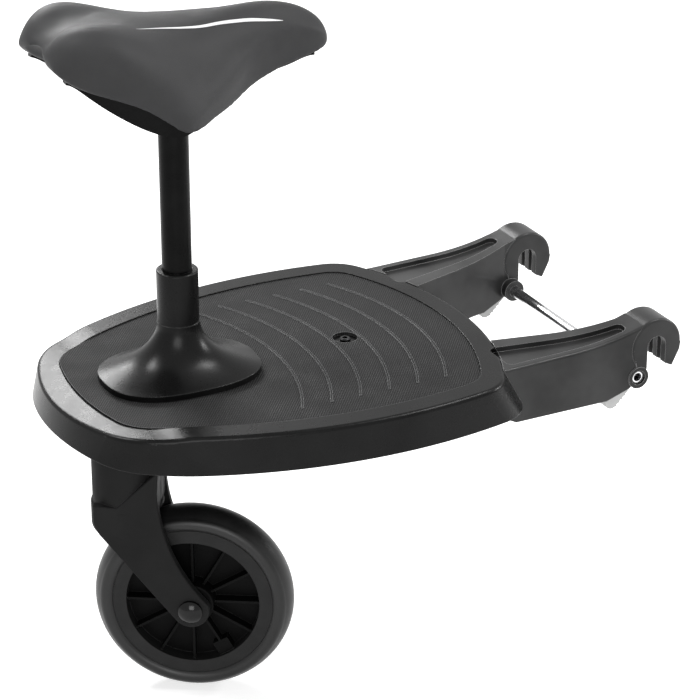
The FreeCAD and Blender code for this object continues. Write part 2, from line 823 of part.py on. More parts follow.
def saddle_rear_notch(extra):
    """The rounded room between the two lobes at the rear."""
    ahead = saddle_rear + saddle_notch - saddle_notch_radius
    return Part.makeSphere(saddle_notch_radius + extra, V(ahead, 0, saddle_top - saddle_notch_below))


def build_saddle_cover():
    wires = [saddle_cover_section(*station[:-1]) for station in saddle_stations()]
    return Part.makeLoft(wires, True, False).cut(saddle_rear_notch(0))


def saddle_base_section(along, half, edge, rise, deep):
    """A closed section of the base: an arch, upright sides and a parallel arch below."""
    radius = (half ** 2 + rise ** 2) / (2 * rise)
    half = half - min(saddle_base_inset, 0.3 * half)
    side = edge - rise + radius - math.sqrt(radius ** 2 - half ** 2)
    lift = saddle_base_overlap

    def at(y, drop):
        return V(saddle_rear + along, y, saddle_top - drop)

    return Part.Wire([arc(at(-half, side - lift), at(0, edge - rise - lift), at(half, side - lift)),
                      line(at(half, side - lift), at(half, side + deep)),
                      arc(at(half, side + deep), at(0, edge - rise + deep), at(-half, side + deep)),
                      line(at(-half, side + deep), at(-half, side - lift))])


def build_saddle_base(cover):
    """A shell that lies under the cover, deeper at the rear, with a boss for the post."""
    wires = []
    for along, half, edge, side, shoulder, shoulder_drop, middle, rise, deep in saddle_stations()[1:-1]:
        wires.append(saddle_base_section(along, half, edge, rise, deep))
    shell = Part.makeLoft(wires, True, False)
    boss = cylinder(saddle_boss_radius, V(post_x, 0, saddle_boss_bottom),
                    V(post_x, 0, post_top + saddle_boss_crown))
    bore = cylinder(post_radius + fastener_clearance, V(post_x, 0, saddle_boss_bottom - overlap),
                    V(post_x, 0, post_top))
    lowered = cover.copy()
    lowered.translate(V(0, 0, -saddle_gap))
    body = fuse(shell, boss).cut(lowered).cut(saddle_rear_notch(saddle_base_notch))
    return body.cut(bore).cut(saddle_bolt_hole())


def saddle_bolt_hole():
    reach = V(0, saddle_boss_radius + overlap, 0)
    middle = V(post_x, 0, saddle_bolt_z)
    return cylinder(saddle_bolt_radius + fastener_clearance, middle - reach, middle + reach)


def build_saddle_bolt():
    seat = V(post_x, -saddle_boss_radius, saddle_bolt_z)
    return screw(seat, V(0, 1, 0), 2 * saddle_boss_radius + saddle_bolt_end,
                 saddle_bolt_head, saddle_bolt_head_height, saddle_bolt_radius)


def build_saddle_nut():
    start = V(post_x, saddle_boss_radius, saddle_bolt_z)
    end = start + V(0, saddle_nut_height, 0)
    bore = cylinder(saddle_bolt_radius + fastener_clearance, start, end)
    return hexagon(saddle_nut_width, start, end).cut(bore)


# Caster: housing, stem and bushes stand upright on the swivel axis

def upright(z):
    return V(swivel_x, 0, z)


def housing_screw_points():
    angles = [math.radians(90 * k) for k in range(4)]
    return [upright(0) + V(math.cos(a), math.sin(a), 0) * housing_screw_circle for a in angles]


def build_housing():
    body = fuse(cylinder(housing_flange_radius, upright(housing_top - housing_flange), upright(housing_top)),
                cylinder(housing_radius, upright(housing_bottom), upright(housing_top)))
    body = body.cut(cylinder(nut_pocket_radius, upright(bush_seat), upright(housing_top)))
    body = body.cut(cylinder(stem_radius + 1, upright(housing_bottom), upright(housing_top)))
    seat = bush_radius + fastener_clearance
    body = body.cut(cylinder(seat, upright(bush_seat - bush_length), upright(bush_seat)))
    body = body.cut(cylinder(seat, upright(housing_bottom), upright(housing_bottom + bush_length)))
    for at in housing_screw_points():
        room = cylinder(screw_head_radius + 0.8, V(at.x, at.y, housing_bottom),
                        V(at.x, at.y, housing_top - housing_flange))
        body = body.cut(screw_hole(at, housing_bottom, housing_top)).cut(room)
    return body


def build_housing_screws():
    seat = housing_top - housing_flange
    length = housing_flange + housing_pad + deck_plate - 1
    return [screw(V(at.x, at.y, seat), V(0, 0, 1), length) for at in housing_screw_points()]


def build_bush(bottom):
    return tube(bush_radius, stem_radius + running_clearance, upright(bottom), upright(bottom + bush_length))


def build_stem():
    shoulder = bush_seat + stem_gap
    return fuse(cylinder(stem_radius, upright(stem_bottom), upright(shoulder)),
                cylinder(stem_thread_radius, upright(shoulder), upright(housing_top - stem_end)))


def build_stem_washer():
    low = bush_seat + stem_gap
    return tube(stem_washer_radius, stem_thread_radius + fastener_clearance, upright(low),
                upright(low + stem_washer_thickness))


def build_stem_nut():
    start = upright(bush_seat + stem_gap + stem_washer_thickness)
    end = start + V(0, 0, stem_nut_height)
    bore = cylinder(stem_thread_radius + fastener_clearance, start, end)
    return hexagon(stem_nut_width, start, end).cut(bore)


def build_thrust_washer():
    return tube(thrust_washer_radius, stem_radius + fastener_clearance, upright(neck_top),
                upright(neck_top + thrust_washer_thickness))


# Caster: fork and wheel are drawn pointing along +X and then turned

def caster_place(shape):
    placed = shape.copy()
    placed.rotate(V(0, 0, 0), V(0, 0, 1), caster_turn)
    placed.translate(V(swivel_x, 0, 0))
    return placed


def on_axle(y):
    return V(caster_trail, y, axle_z)


def blade_outline(y):
    """One blade seen from the side, from the slanting top edge to the round end at the axle."""
    centre = on_axle(y)
    r = blade_end_radius
    shoulder = V(blade_front + blade_shoulder_radius, y, blade_shoulder_z)
    reach = centre - shoulder
    lean = math.atan2(reach.z, reach.x) - math.acos((blade_shoulder_radius - r) / reach.Length)
    outward = V(math.cos(lean), 0, math.sin(lean))
    leave, touch = shoulder + outward * blade_shoulder_radius, centre + outward * r
    side = shoulder - V(blade_shoulder_radius, 0, 0)
    right = centre + V(r * 0.94, 0, r * 0.34)
    bottom = centre + V(r * 0.5, 0, -r * 0.866)
    top_left = V(blade_front, y, neck_bottom + blade_top_rise + 1)
    top_mid = V(blade_slant_rear, y, neck_bottom + blade_top_rise)
    top_right = V(blade_slant_front, y, neck_bottom + blade_top_rise + blade_slant_rise)
    waist = V(blade_waist_x, y, blade_waist_z)
    edges = [line(top_left, side),
             corner_arc(shoulder, blade_shoulder_radius, side, leave),
             line(leave, touch),
             arc(touch, bottom, right),
             arc(right, V(blade_knee_x, y, blade_knee_z), waist),
             line(waist, top_right),
             line(top_right, top_mid),
             line(top_mid, top_left)]
    return Part.Face(Part.Wire(edges))


def build_blade():
    blade = blade_outline(blade_inner).extrude(V(0, blade_outer - blade_inner, 0))
    rim = [e for e in blade.Edges if abs(e.CenterOfMass.y - blade_outer) < 0.01]
    return blade.makeFillet(blade_round, rim)


def build_fork():
    neck = cylinder(neck_radius, V(0, 0, neck_bottom - 5), V(0, 0, neck_top))
    crown = cylinder(crown_radius, V(0, 0, crown_bottom), V(0, 0, neck_bottom))
    lower = [e for e in crown.Edges if e.BoundBox.ZLength < 0.01 and e.BoundBox.ZMin < crown_bottom + 1]
    upper = [e for e in crown.Edges if e.BoundBox.ZLength < 0.01 and e.BoundBox.ZMin > neck_bottom - 1]
    crown = crown.makeFillet(crown_lower_round, lower).makeFillet(crown_upper_round, upper)
    bridge_top = neck_bottom + blade_top_rise - 1
    bridge = side_prism([(blade_slant_rear, bridge_top),
                         (blade_slant_front - 0.5, bridge_top + blade_slant_rise),
                         (blade_waist_x - 0.5, blade_waist_z), (blade_waist_x - 0.5, crown_bottom),
                         (blade_slant_rear, crown_bottom)], -blade_inner - overlap, blade_inner + overlap)
    blade = build_blade()
    body = fuse(neck, crown, bridge, blade, mirrored(blade))
    around_tyre = cylinder(tyre_radius + tyre_clearance, on_axle(-blade_inner), on_axle(blade_inner))
    body = body.cut(around_tyre)
    boss_face = hub_half_width + 2 * fork_boss_gap
    for side in (1, -1):
        foot = on_axle(side * (blade_inner + overlap))
        body = body.fuse(cylinder(fork_boss_radius, on_axle(side * boss_face), foot))
    body = body.removeSplitter()
    body = body.cut(cylinder(axle_radius + fastener_clearance, on_axle(-through), on_axle(through)))
    return body.cut(cylinder(stem_radius + fastener_clearance, V(0, 0, stem_bottom), V(0, 0, 0)))


def wheel_solid(half_profile):
    """A solid of revolution about the axle from points (radius, offset from the wheel's middle)."""
    centre = on_axle(0)
    return turned([centre + V(0, v, r) for r, v in half_profile], centre, V(0, 1, 0))


def spoke(low, high, half, angle):
    """A block between two radii, as wide as the ribs, turned by an angle about the axle."""
    block = box(low, high, -rim_rib_half_width, rim_rib_half_width, -half, half)
    block.rotate(V(0, 0, 0), V(0, 1, 0), angle)
    block.translate(on_axle(0))
    return block


def build_rim():
    seat_half = rim_half_width - rim_flange
    ring = wheel_solid([(rim_inner_radius, -rim_half_width), (rim_radius, -rim_half_width),
                        (rim_radius, -seat_half), (rim_seat_radius, -seat_half),
                        (rim_seat_radius, seat_half), (rim_radius, seat_half),
                        (rim_radius, rim_half_width), (rim_inner_radius, rim_half_width)])
    low, high = hub_radius - overlap, rim_inner_radius + overlap
    web = wheel_solid([(low, -rim_web), (high, -rim_web), (high, rim_web), (low, rim_web)])
    hub = cylinder(hub_radius, on_axle(-hub_half_width), on_axle(hub_half_width))
    hub = hub.makeFillet(hub_round, [e for e in hub.Edges if e.BoundBox.YLength < 0.01])
    spokes = [spoke(low, high, rim_rib / 2, 360 * k / rim_rib_count) for k in range(rim_rib_count)]
    tab = spoke(rim_inner_radius - rim_tab_depth, high, rim_tab_half_width, rim_tab_angle)
    body = fuse(ring, web, hub, tab, *spokes)
    inner_end = hub_half_width + fork_boss_gap - bearing_width
    body = body.cut(cylinder(axle_radius + 4, on_axle(-through), on_axle(through)))
    for side in (1, -1):
        start, end = on_axle(side * inner_end), on_axle(side * through)
        body = body.cut(cylinder(bearing_radius + running_clearance, start, end))
    return body


def build_tyre():
    """A rounded tyre drawn with arcs, seated between the rim's flanges."""
    centre = on_axle(0)
    seat_half = rim_half_width - rim_flange - tyre_fit
    inner = rim_seat_radius + tyre_fit / 2
    flange = rim_radius + 3 * tyre_fit

    def at(radius, offset):
        return centre + V(0, offset, radius)

    wide = tyre_half_width
    left = [at(inner, -seat_half), at(flange, -seat_half), at(flange, -rim_half_width)]
    right = [at(flange, rim_half_width), at(flange, seat_half), at(inner, seat_half)]
    shoulder = tyre_radius - tyre_shoulder
    bulge = flange + tyre_shoulder
    tread = wide - tyre_shoulder_inset
    edges = [line(left[0], left[1]), line(left[1], left[2]),
             arc(left[2], at(bulge, -wide), at(shoulder, -tread)),
             arc(at(shoulder, -tread), at(tyre_radius, 0), at(shoulder, tread)),
             arc(at(shoulder, tread), at(bulge, wide), right[0]),
             line(right[0], right[1]), line(right[1], right[2]), line(right[2], left[0])]
    return Part.Face(Part.Wire(edges)).revolve(centre, V(0, 1, 0), 360)


def build_wheel_bearing(side):
    outer_end = hub_half_width + fork_boss_gap
    return tube(bearing_radius, axle_radius + running_clearance, on_axle(side * (outer_end - bearing_width)),
                on_axle(side * outer_end))


def build_bearing_spacer():
    reach = hub_half_width + fork_boss_gap - bearing_width
    return tube(axle_radius + 2, axle_radius + running_clearance, on_axle(-reach), on_axle(reach))


def build_axle_bolt():
    return screw(on_axle(-blade_outer), V(0, 1, 0), 2 * blade_outer + axle_head_height,
                 axle_head_radius, axle_head_height, axle_radius)


def build_axle_nut():
    start, end = on_axle(blade_outer), on_axle(blade_outer + axle_head_height)
    return hexagon(axle_nut_width, start, end).cut(cylinder(axle_radius + fastener_clearance, start, end))


def build_axle_cap(side):
    """A domed cap over the bolt's head or nut, hollow inside."""
    foot, top = side * blade_outer, side * (blade_outer + cap_height)
    dome = cap_height - cap_side
    ball_radius = (cap_radius ** 2 + dome ** 2) / (2 * dome)
    ball = Part.makeSphere(ball_radius, on_axle(side * (blade_outer + cap_height - ball_radius)))
    body = cylinder(cap_radius, on_axle(foot), on_axle(top)).common(ball)
    return body.cut(cylinder(cap_room_radius, on_axle(foot), on_axle(side * (blade_outer + cap_room))))


os.makedirs("parts", exist_ok=True)

save("deck", build_deck())
save("grip_mat", build_mat())
save("mat_screw", build_mat_screw())

left_arm = build_arm()
save("left_arm", left_arm)
save("right_arm", mirrored(left_arm))
save("arm_screws", *build_arm_screws())
save("cross_rod", build_rod())
left_lever = build_lever()
save("left_lock_lever", left_lever)
save("right_lock_lever", mirrored(left_lever))
save("lever_pins", *build_lever_pins())

save("seat_socket", build_socket())
save("socket_screws", *build_socket_screws())
save("seat_post", build_post())
saddle_cover = build_saddle_cover()
save("saddle_cover", saddle_cover)
save("saddle_base", build_saddle_base(saddle_cover))
save("saddle_bolt", build_saddle_bolt())
save("saddle_nut", build_saddle_nut())

save("swivel_housing", build_housing())
save("housing_screws", *build_housing_screws())
save("upper_swivel_bush", build_bush(bush_seat - bush_length))
save("lower_swivel_bush", build_bush(housing_bottom))
save("swivel_stem", build_stem())
save("stem_washer", build_stem_washer())
save("stem_nut", build_stem_nut())
save("thrust_washer", build_thrust_washer())

save("caster_fork", caster_place(build_fork()))
save("wheel_rim", caster_place(build_rim()))
save("tyre", caster_place(build_tyre()))
save("near_wheel_bearing", caster_place(build_wheel_bearing(-1)))
save("far_wheel_bearing", caster_place(build_wheel_bearing(1)))
save("bearing_spacer", caster_place(build_bearing_spacer()))
save("axle_bolt", caster_place(build_axle_bolt()))
save("axle_nut", caster_place(build_axle_nut()))
save("near_axle_cap", caster_place(build_axle_cap(-1)))
save("far_axle_cap", caster_place(build_axle_cap(1)))
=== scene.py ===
import json
import math

import bpy
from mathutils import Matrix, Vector
from mathutils.bvhtree import BVHTree
from mathutils.kdtree import KDTree


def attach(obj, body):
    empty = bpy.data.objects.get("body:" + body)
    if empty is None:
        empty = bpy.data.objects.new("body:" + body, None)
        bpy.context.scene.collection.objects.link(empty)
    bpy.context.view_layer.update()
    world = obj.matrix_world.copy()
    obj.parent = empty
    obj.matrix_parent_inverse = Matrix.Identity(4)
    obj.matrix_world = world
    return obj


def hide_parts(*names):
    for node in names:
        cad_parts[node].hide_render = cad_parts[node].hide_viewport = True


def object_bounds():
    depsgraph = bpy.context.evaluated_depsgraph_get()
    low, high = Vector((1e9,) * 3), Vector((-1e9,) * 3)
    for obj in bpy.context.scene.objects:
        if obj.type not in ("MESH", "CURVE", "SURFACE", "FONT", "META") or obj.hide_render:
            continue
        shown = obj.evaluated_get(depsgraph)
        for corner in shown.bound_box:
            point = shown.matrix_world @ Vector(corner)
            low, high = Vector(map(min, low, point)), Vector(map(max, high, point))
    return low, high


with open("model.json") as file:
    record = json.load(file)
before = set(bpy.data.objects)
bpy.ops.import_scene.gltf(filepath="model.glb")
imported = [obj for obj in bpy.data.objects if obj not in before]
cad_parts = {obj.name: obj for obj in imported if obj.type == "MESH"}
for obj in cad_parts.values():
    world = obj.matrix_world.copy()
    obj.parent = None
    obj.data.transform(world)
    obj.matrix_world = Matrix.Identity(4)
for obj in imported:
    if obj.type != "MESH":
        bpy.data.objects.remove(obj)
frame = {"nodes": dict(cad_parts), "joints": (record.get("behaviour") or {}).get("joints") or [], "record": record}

# Buggy board with a saddle: looks, light and camera. Metres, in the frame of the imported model.

cad_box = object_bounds()
nodes = frame["nodes"]
slot_of = {part["node"]: part["material_slot"] for part in frame["record"]["subparts"]}
wheel_spin = next(joint for joint in frame["joints"] if joint["name"] == "wheel_spin")


def grey(level, blue=0.0):
    """A grey, cooler with a little more blue and warmer with a little less."""
    return (level, level, level + blue)


# Camera: placed at the photograph's angle, with a square picture
image_size = 700
camera_place = Vector((-1.2466, -1.9640, 1.0090))
camera_target = Vector((-0.2465, -0.0279, 0.0085))
camera_lens = 145.08
camera_sensor = 36.0

# Saddle, coarse copy for the cloth run: points whose normal points further down than the slope are held,
# and no point moves further than the cap
cloth_voxel = 0.004
cloth_pressure = 4.0
cloth_frames = 20
cloth_cap = 0.002
held_slope = -0.3

# Saddle, fine copy that takes up the swelling: the rounding of its lower edge, how much fuller than the
# solid its upper side is, and the slope of the normal from which the underside counts in full
fine_voxel = 0.0015
swell_neighbours = 8
smooth_factor = 0.5
smooth_rounds = 12
edge_round = 0.002
saddle_fuller = 0.0012
under_slope = -0.5

# Stripe on the saddle: where its middle line shows in the photograph, its greatest half width and that of
# its tips, how far past the middle it is widest, how blunt its ends are, its lift off the cover, and its
# points across and along
stripe_pixels = [(136, 29.2), (156, 28.6), (180, 28.0), (201, 26.6),
                 (223, 22.6), (245, 20.2), (265, 20.0), (283, 20.6)]
stripe_half_width = 0.0016
stripe_tip = 0.0001
stripe_lean = 1.4
stripe_bluntness = 0.7
stripe_lift = 0.00025
stripe_lanes = (-1, 0, 1)
stripe_steps = 60

# Mat: pitch of the two crossing sets of ridges and the direction of the finer one
mat_fine_pitch = 0.0019
mat_cross_pitch = 0.0031
mat_weave_turn = math.radians(38)

# Wheel: radius at which the satin ring of the rim starts, and the width over which it comes in
# Inside the ring the web is painted near black, as shade in its deep cells
ring_start = 0.0565
ring_blend = 0.001

# Depth of the fine relief on each kind of surface
grain_depth = 0.00008
weave_depth = 0.0004
tyre_depth = 0.0001
vinyl_depth = 0.00012
peel_depth = 0.0001
line_depth = 0.00002

# Edges: rounding on the rim and the mat, the cosines of the normal's turn where the painted edge highlight ends
# and where it is full, and the samples that find an edge
rim_edge = 0.0007
mat_edge = 0.0008
highlight_ends = 0.995
highlight_full = 0.75
edge_samples = 6

# Moulded plastics: colour, colour of the painted edge highlight, lowest and highest roughness, shine, rounding of
# edges
plastics = {
    "black_plastic": (grey(0.002), grey(0.05), 0.26, 0.30, 0.13, 0.0012),
    "caster_plastic": (grey(0.017), grey(0.06), 0.50, 0.60, 0.03, 0.0009),
    "arm_plastic": (grey(0.013), grey(0.30), 0.31, 0.36, 0.22, 0.0011),
    "pale_plastic": (grey(0.58), grey(0.78, -0.01), 0.35, 0.50, 0.18, 0.0009),
    "bush_plastic": (grey(0.40, -0.02), grey(0.55, -0.03), 0.35, 0.50, 0.18, 0.0009),
}

# Polished plastics: shine
polished = {"gloss_plastic": 0.06, "cap_plastic": 0.22}

# Plated steels: darkest and lightest colour
plated = {
    "fastener_steel": (grey(0.10, 0.005), grey(0.24, 0.01)),
    "black_steel": (grey(0.010), grey(0.030, 0.001)),
}

# Pieces whose finish isn't that of their slot
own_finish = {
    "left_arm": "arm_plastic",
    "right_arm": "arm_plastic",
    "near_axle_cap": "cap_plastic",
    "far_axle_cap": "cap_plastic",
    "mat_screw": "black_steel",
    "caster_fork": "caster_plastic",
    "swivel_housing": "caster_plastic",
}

# Floor: how far it lies below the wheel and reaches to each side, its grey and its glow where it is seen
floor_gap = 0.0002
floor_reach = 12.0
floor_colour = 0.8
floor_glow = 0.63

# Light: what the surroundings give, and the soft boxes as place, size and watts
sky_light = 0.2
soft_boxes = {
    "back_softbox": ((-0.25, 1.7, 1.0), (0.9, 0.4), 23),
    "overhead_softbox": ((0.85, -0.45, 1.8), (0.9, 0.3), 24),
    "left_softbox": ((-1.3, 0.65, 1.75), (0.5, 0.5), 26),
    "front_softbox": ((-1.3, -2.0, 0.6), (1.2, 1.0), 24),
    "right_softbox": ((1.5, -0.3, 0.6), (0.4, 0.4), 12),
}


# Node helpers

def new_material(name):
    material = bpy.data.materials.new(name)
    material.use_nodes = True
    return material, material.node_tree


def add(tree, kind, **values):
    node = tree.nodes.new(kind)
    for key, value in values.items():
        setattr(node, key, value)
    return node


def coordinates(tree, turn=0.0, scale=(1, 1, 1)):
    """Coordinates fixed to the piece, in metres, turned about Z and scaled."""
    place = add(tree, "ShaderNodeTexCoord")
    mapping = add(tree, "ShaderNodeMapping")
    mapping.inputs["Rotation"].default_value = (0, 0, turn)
    mapping.inputs["Scale"].default_value = scale
    tree.links.new(place.outputs["Object"], mapping.inputs["Vector"])
    return mapping.outputs["Vector"]


def noise(tree, place, scale, detail, rough=0.55):
    """Soft noise from 0 to 1 with the given number of spots per metre."""
    node = add(tree, "ShaderNodeTexNoise")
    node.inputs["Scale"].default_value = scale
    node.inputs["Detail"].default_value = detail
    node.inputs["Roughness"].default_value = rough
    tree.links.new(place, node.inputs["Vector"])
    return node.outputs["Fac"]


def wave(tree, place, pitch):
    """Straight bands along Y with the given pitch. At scale 1 the texture turns 20 radians per metre."""
    radians_per_metre = 20
    node = add(tree, "ShaderNodeTexWave", wave_profile="SIN", bands_direction="X")
    node.inputs["Scale"].default_value = 2 * math.pi / (radians_per_metre * pitch)
    tree.links.new(place, node.inputs["Vector"])
    return node.outputs["Fac"]


def spread(tree, value, low, high, low_in=0.3, high_in=0.7):
    """Maps a value from one range to another, by default from where noise mostly lies."""
    node = add(tree, "ShaderNodeMapRange")
    node.inputs["From Min"].default_value = low_in
    node.inputs["From Max"].default_value = high_in
    node.inputs["To Min"].default_value = low
    node.inputs["To Max"].default_value = high
    tree.links.new(value, node.inputs["Value"])
    return node.outputs["Result"]


def calculate(tree, operation, first, second):
    node = add(tree, "ShaderNodeMath", operation=operation)
    for socket, value in zip(node.inputs, (first, second)):
        if isinstance(value, (int, float)):
            socket.default_value = value
        else:
            tree.links.new(value, socket)
    return node.outputs["Value"]


def part_of(tree, value, share):
    return calculate(tree, "MULTIPLY", value, share)


def axis_distance(tree, place, joint):
    """How far a place lies from the axis of a joint."""
    offset = add(tree, "ShaderNodeVectorMath", operation="SUBTRACT")
    offset.inputs[1].default_value = joint["pos_m"]
    tree.links.new(place, offset.inputs[0])
    around = add(tree, "ShaderNodeVectorMath", operation="CROSS_PRODUCT")
    around.inputs[1].default_value = joint["axis"]
    tree.links.new(offset.outputs["Vector"], around.inputs[0])
    length = add(tree, "ShaderNodeVectorMath", operation="LENGTH")
    tree.links.new(around.outputs["Vector"], length.inputs[0])
    return length.outputs["Value"]


def tint(tree, factor, dark, light):
    node = add(tree, "ShaderNodeMix", data_type="RGBA")
    node.inputs["A"].default_value = (*dark, 1)
    node.inputs["B"].default_value = (*light, 1)
    tree.links.new(factor, node.inputs["Factor"])
    return node.outputs["Result"]


def mottle(tree, pattern, dark, light):
    """Colours from dark to light, as the noise pattern goes."""
    return tint(tree, spread(tree, pattern, low=0.0, high=1.0), dark, light)


def bump(tree, height, depth, strength, normal=None):
    node = add(tree, "ShaderNodeBump")
    node.inputs["Strength"].default_value = strength
    node.inputs["Distance"].default_value = depth
    tree.links.new(height, node.inputs["Height"])
    if normal is not None:
        tree.links.new(normal, node.inputs["Normal"])
    return node.outputs["Normal"]


def round_edges(tree, radius):
    """A normal that rounds sharp edges, and a share that rises along them, for a painted highlight."""
    node = add(tree, "ShaderNodeBevel", samples=edge_samples)
    node.inputs["Radius"].default_value = radius
    geometry = add(tree, "ShaderNodeNewGeometry")
    dot = add(tree, "ShaderNodeVectorMath", operation="DOT_PRODUCT")
    tree.links.new(node.outputs["Normal"], dot.inputs[0])
    tree.links.new(geometry.outputs["Normal"], dot.inputs[1])
    # This share lightens colours along edges as a painted highlight
    edge_highlight = spread(tree, dot.outputs["Value"], low=1.0, high=0.0, low_in=highlight_full, high_in=highlight_ends)
    return node.outputs["Normal"], edge_highlight


def dress(material, colour, rough, normal=None, shine=0.5, metal=0.0):
    """Gives the material's shader what its function has worked out, and returns the material."""
    tree = material.node_tree
    shader = tree.nodes["Principled BSDF"]
    tree.links.new(colour, shader.inputs["Base Color"])
    tree.links.new(rough, shader.inputs["Roughness"])
    if normal is not None:
        tree.links.new(normal, shader.inputs["Normal"])
    shader.inputs["Specular IOR Level"].default_value = shine
    shader.inputs["Metallic"].default_value = metal
    return material


# Materials, one function each

def moulded_grain(tree, place, normal):
    """Fine spark-eroded pits on top of the given normal."""
    pits = noise(tree, place, scale=1400, detail=2)
    return bump(tree, pits, grain_depth, strength=0.35, normal=normal)


def moulded_plastic(name, colour, edge_highlight_colour, smooth, dull, shine, edge):
    """Moulded plastic with a fine grain, slight flow marks and a painted highlight along its edges."""
    material, tree = new_material(name)
    place = coordinates(tree)
    flow = noise(tree, place, scale=18, detail=3)
    cloud = noise(tree, place, scale=90, detail=4)
    rounded, edge_highlight = round_edges(tree, edge)
    # Edges are painted lighter, towards the second colour, as a painted highlight
    shade = calculate(tree, "ADD", spread(tree, flow, low=0.0, high=0.1), part_of(tree, edge_highlight, share=0.9))
    return dress(material, tint(tree, shade, colour, edge_highlight_colour), spread(tree, cloud, smooth, dull),
                 moulded_grain(tree, place, rounded), shine)


def wheel_plastic(name):
    """Moulded plastic, satin at the rim ring and dull on the web, which is painted near black as shade in its
    cells.
    """
    material, tree = new_material(name)
    place = coordinates(tree)
    radius = axis_distance(tree, place, wheel_spin)
    satin_unshaded_ring = spread(tree, radius, low=0.0, high=1.0, low_in=ring_start, high_in=ring_start + ring_blend)
    rounded, edge_highlight = round_edges(tree, rim_edge)
    flow = noise(tree, place, scale=60, detail=3)
    # The web inside the ring is painted near black as shade in its deep cells; edges get a painted highlight
    unshaded_and_highlit = calculate(tree, "ADD", part_of(tree, satin_unshaded_ring, share=0.6), part_of(tree, edge_highlight, share=0.5))
    shade = calculate(tree, "MULTIPLY", unshaded_and_highlit, spread(tree, flow, low=0.8, high=1.0))
    return dress(material, tint(tree, shade, grey(0.001), grey(0.042)),
                 spread(tree, satin_unshaded_ring, low=0.6, high=0.4, low_in=0.0, high_in=1.0),
                 moulded_grain(tree, place, rounded), shine=0.08)


def woven_mat(name):
    """Dusty rubber with a twill of two crossing sets of ridges, lighter on ridges, with a painted highlight on
    edges.
    """
    material, tree = new_material(name)
    fine = wave(tree, coordinates(tree, mat_weave_turn), mat_fine_pitch)
    cross = wave(tree, coordinates(tree, mat_weave_turn - math.pi / 2), mat_cross_pitch)
    broken = spread(tree, cross, low=0.5, high=1.0, low_in=0.0, high_in=1.0)
    weave = calculate(tree, "MULTIPLY", fine, broken)
    dust = noise(tree, coordinates(tree), scale=35, detail=5)
    rounded, edge_highlight = round_edges(tree, mat_edge)
    dusty = spread(tree, dust, low=0.0, high=0.02)
    weave_and_dust = calculate(tree, "ADD", part_of(tree, weave, share=0.062), dusty)
    # Rib edges and the mat's border are painted lighter, as a painted highlight
    shade = calculate(tree, "ADD", weave_and_dust, part_of(tree, edge_highlight, share=0.65))
    return dress(material, tint(tree, shade, grey(0.002), grey(0.5, 0.005)),
                 spread(tree, dust, low=0.55, high=0.75),
                 bump(tree, weave, weave_depth, strength=0.7, normal=rounded), shine=0.1)


def tyre_rubber(name):
    """Smooth solid rubber, a little dusty."""
    material, tree = new_material(name)
    place = coordinates(tree)
    dust = noise(tree, place, scale=40, detail=5)
    pores = noise(tree, place, scale=900, detail=3)
    return dress(material, mottle(tree, dust, grey(0.006), grey(0.012)),
                 spread(tree, dust, low=0.34, high=0.46),
                 bump(tree, pores, tyre_depth, strength=0.25), shine=0.32)


def saddle_vinyl(name):
    """Dark grey vinyl with a fine leather grain."""
    material, tree = new_material(name)
    place = coordinates(tree)
    cells = add(tree, "ShaderNodeTexVoronoi", feature="DISTANCE_TO_EDGE")
    cells.inputs["Scale"].default_value = 900
    tree.links.new(place, cells.inputs["Vector"])
    grain = spread(tree, cells.outputs["Distance"], low=0.0, high=1.0, low_in=0.0, high_in=0.12)
    cloud = noise(tree, place, scale=22, detail=4)
    return dress(material, mottle(tree, cloud, grey(0.045, 0.001), grey(0.053, 0.001)),
                 spread(tree, cloud, low=0.40, high=0.48),
                 bump(tree, grain, vinyl_depth, strength=0.35), shine=0.06)


def gloss_plastic(name, shine):
    """Polished black plastic with faint handling marks."""
    material, tree = new_material(name)
    marks = noise(tree, coordinates(tree), scale=60, detail=6, rough=0.7)
    return dress(material, mottle(tree, marks, grey(0.002), grey(0.005)),
                 spread(tree, marks, low=0.1, high=0.2), shine=shine)


def painted_tube(name):
    """Satin black powder coat with a slight orange peel."""
    material, tree = new_material(name)
    place = coordinates(tree)
    peel = noise(tree, place, scale=420, detail=2)
    cloud = noise(tree, place, scale=50, detail=3)
    return dress(material, mottle(tree, cloud, grey(0.003), grey(0.006)),
                 spread(tree, cloud, low=0.26, high=0.36),
                 bump(tree, peel, peel_depth, strength=0.25), shine=0.055)


def bright_steel(name):
    """Drawn steel tube along Y with fine lines along it."""
    material, tree = new_material(name)
    lines = noise(tree, coordinates(tree, scale=(1, 0.03, 1)), scale=2600, detail=3)
    return dress(material, mottle(tree, lines, grey(0.58, 0.01), grey(0.70, 0.01)),
                 spread(tree, lines, low=0.14, high=0.22),
                 bump(tree, lines, line_depth, strength=0.2), metal=1.0)


def plated_steel(name, dark, light):
    """Plated steel with a mottled sheen."""
    material, tree = new_material(name)
    spots = noise(tree, coordinates(tree), scale=260, detail=5)
    return dress(material, mottle(tree, spots, dark, light),
                 spread(tree, spots, low=0.28, high=0.48), metal=1.0)


def printed_stripe(name):
    """White screen print, slightly uneven."""
    material, tree = new_material(name)
    spots = noise(tree, coordinates(tree), scale=700, detail=4)
    return dress(material, mottle(tree, spots, grey(0.72), grey(0.82)),
                 spread(tree, spots, low=0.4, high=0.55))


